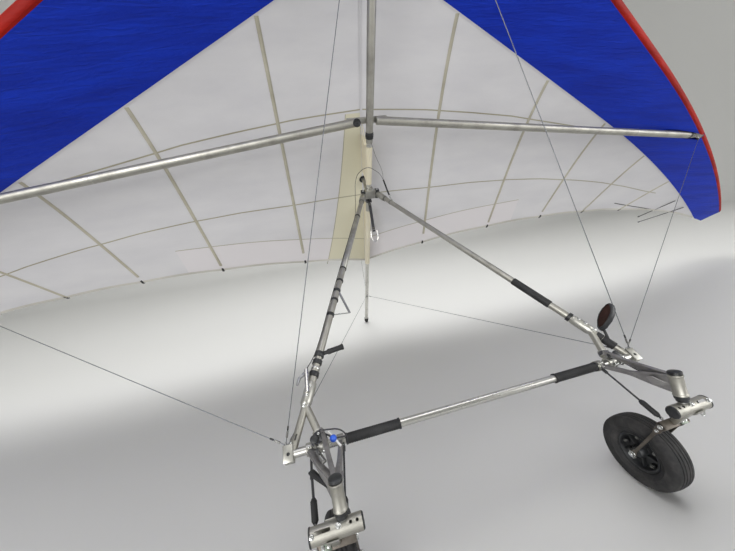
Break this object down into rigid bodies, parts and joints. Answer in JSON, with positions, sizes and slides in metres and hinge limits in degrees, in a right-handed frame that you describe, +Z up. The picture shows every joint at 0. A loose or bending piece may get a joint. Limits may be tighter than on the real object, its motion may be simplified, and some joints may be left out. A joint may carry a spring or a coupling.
{
  "type": "hang glider",
  "caption": "Tandem hang glider with a kingpost and crossbars, a swept cloth wing and a triangular control frame on trailing castered wheels, parked tail down",
  "frame": {"origin": "centre of the bounding box, on the floor under the parked glider", "axes": "+X to the glider's left, along the wing; +Y aft, towards the tail; +Z up. The nose points to -Y and up"},
  "size_m": [10.8482, 3.113, 3.0059],
  "materials": {
    "polished_tube": "drawn tube, polished",
    "brushed_tube": "drawn tube, anodised",
    "grey_casting": "machined and welded plate, satin",
    "steel_fitting": "plated steel, satin",
    "steel_wire": "stranded stainless cable",
    "black_plastic": "moulded nylon, matt",
    "grip_rubber": "moulded rubber, matt",
    "tyre_rubber": "ribbed rubber",
    "white_cloth": "coated polyester sailcloth, white",
    "blue_cloth": "coated polyester sailcloth, blue with an orange-red edge",
    "cream_cloth": "reinforcement cloth, cream",
    "webbing": "woven nylon webbing, black"
  },
  "bodies": {
    "root": {"base_bar": "polished_tube", "base_bar_grip_left": "grip_rubber", "base_bar_grip_right": "grip_rubber", "control_frame_apex": "black_plastic", "corner_block_left": "grey_casting", "corner_block_right": "grey_casting", "crossbar_bracket_left": "grey_casting", "crossbar_bracket_right": "grey_casting", "crossbar_hinge": "black_plastic", "crossbar_left": "brushed_tube", "crossbar_right": "brushed_tube", "downtube_left": "brushed_tube", "downtube_right": "brushed_tube", "front_wire_lower_left": "steel_wire", "front_wire_lower_right": "steel_wire", "front_wire_upper": "steel_wire", "hang_loop": "webbing", "keel_collar": "black_plastic", "keel_end_cap": "grip_rubber", "keel_pocket_front": "cream_cloth", "keel_pocket_rear": "cream_cloth", "keel_sleeve": "brushed_tube", "keel_tube": "polished_tube", "kingpost": "brushed_tube", "leading_edge_left": "brushed_tube", "leading_edge_pocket_left": "blue_cloth", "leading_edge_pocket_right": "blue_cloth", "leading_edge_right": "brushed_tube", "lower_leg_left": "brushed_tube", "lower_leg_right": "brushed_tube", "mirror_shell": "black_plastic", "nose_plates": "grey_casting", "outrigger_left": "grey_casting", "outrigger_right": "grey_casting", "rear_wire_lower_left": "steel_wire", "rear_wire_lower_right": "steel_wire", "rear_wire_upper": "steel_wire", "release_lever": "brushed_tube", "sail_left": "white_cloth", "sail_right": "white_cloth", "side_wire_lower_left": "steel_wire", "side_wire_lower_right": "steel_wire", "side_wire_upper_left": "steel_wire", "side_wire_upper_right": "steel_wire"},
    "caster_left": {"caster_tube_left": "polished_tube", "caster_cap_left": "black_plastic", "wheel_fork_left": "steel_fitting", "wheel_axle_left": "steel_fitting"},
    "wheel_left": {"wheel_hub_left": "black_plastic", "tyre_left": "tyre_rubber"},
    "caster_right": {"caster_tube_right": "polished_tube", "caster_cap_right": "black_plastic", "wheel_fork_right": "steel_fitting", "wheel_axle_right": "steel_fitting"},
    "wheel_right": {"wheel_hub_right": "black_plastic", "tyre_right": "tyre_rubber"},
    "hanging_strap": {"hang_strap": "webbing", "carabiner": "steel_fitting"}
  },
  "joints": [
    {"name": "caster_swivel_left", "type": "hinge", "parent": "root", "child": "caster_left", "pos_m": [0.6, -1.51751, 0.50823], "axis": [0, 0.2163, 0.9763], "range_deg": [-35, 35], "stiffness_Nm_per_rad": 30},
    {"name": "wheel_spin_left", "type": "hinge", "parent": "caster_left", "child": "wheel_left", "pos_m": [0.632, -1.3909, 0.13933], "axis": [1, 0, 0], "continuous": true},
    {"name": "caster_swivel_right", "type": "hinge", "parent": "root", "child": "caster_right", "pos_m": [-0.6, -1.51751, 0.50823], "axis": [0, 0.2163, 0.9763], "range_deg": [-35, 35], "stiffness_Nm_per_rad": 30},
    {"name": "wheel_spin_right", "type": "hinge", "parent": "caster_right", "child": "wheel_right", "pos_m": [-0.632, -1.3909, 0.13933], "axis": [1, 0, 0], "continuous": true},
    {"name": "strap_swing", "type": "hinge", "parent": "root", "child": "hanging_strap", "pos_m": [0, 0.18836, 1.48441], "axis": [1, 0, 0], "range_deg": [-75, 25]}
  ]
}
